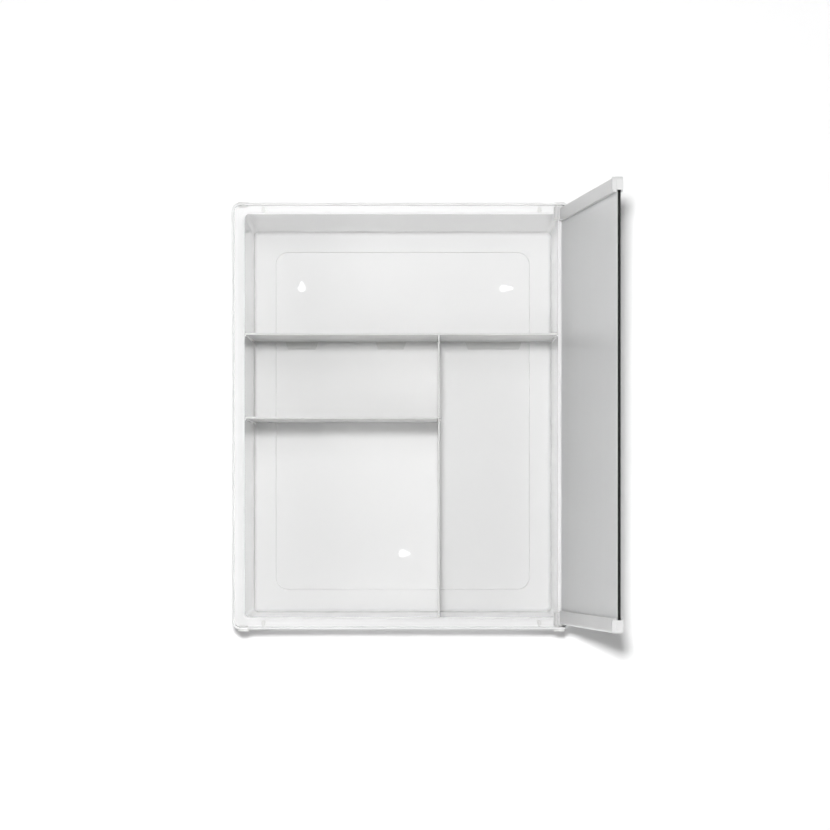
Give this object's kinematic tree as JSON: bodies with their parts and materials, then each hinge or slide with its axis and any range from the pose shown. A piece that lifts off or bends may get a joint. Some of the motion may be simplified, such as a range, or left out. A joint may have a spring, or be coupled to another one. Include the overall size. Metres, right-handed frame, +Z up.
{
  "type": "medicine cabinet with mirror",
  "caption": "Wall-hung moulded bathroom cabinet with shelves, a divider and a side-hinged mirror door held between top and bottom rails.",
  "frame": {"origin": "midway between the two upper keyholes, on the plane of the wall", "axes": "+Z up, +Y into the wall, +X to the right as seen from the front; the front faces -Y"},
  "size_m": [0.3961, 0.5016, 0.4532],
  "materials": {
    "shell_plastic": "white injection-moulded plastic, glossy",
    "board_plastic": "white injection-moulded plastic, glossy",
    "buffer_plastic": "soft white plastic",
    "bush_plastic": "white acetal, satin",
    "glass": "clear float glass with polished edges",
    "silvering": "mirror silvering seen through the glass",
    "backing_film": "light grey safety film, satin",
    "rail_plastic": "white extruded plastic, glossy",
    "glazing_strip": "soft grey sealing strip",
    "cap_plastic": "white moulded plastic, glossy",
    "pin_steel": "turned steel"
  },
  "bodies": {
    "body": {"cabinet_shell": "shell_plastic", "top_shelf": "board_plastic", "divider": "board_plastic", "lower_shelf": "board_plastic", "buffer_top_left": "buffer_plastic", "buffer_top_right": "buffer_plastic", "buffer_bottom_left": "buffer_plastic", "buffer_bottom_right": "buffer_plastic", "bush_top_right": "bush_plastic", "bush_bottom_right": "bush_plastic", "bush_top_left": "bush_plastic", "bush_bottom_left": "bush_plastic"},
    "door": {"mirror_glass": "glass", "silver_coating": "silvering", "backing_film": "backing_film", "top_rail": "rail_plastic", "bottom_rail": "rail_plastic", "top_glazing_strip": "glazing_strip", "bottom_glazing_strip": "glazing_strip", "top_free_cap": "cap_plastic", "bottom_free_cap": "cap_plastic", "top_hinge_cap": "cap_plastic", "bottom_hinge_cap": "cap_plastic", "top_hinge_pin": "pin_steel", "bottom_hinge_pin": "pin_steel"}
  },
  "joints": [
    {"name": "door_hinge", "type": "hinge", "parent": "body", "child": "door", "pos_m": [0.1669, -0.1612, -0.146], "axis": [0, 0, 1], "range_deg": [-97, 0]}
  ]
}
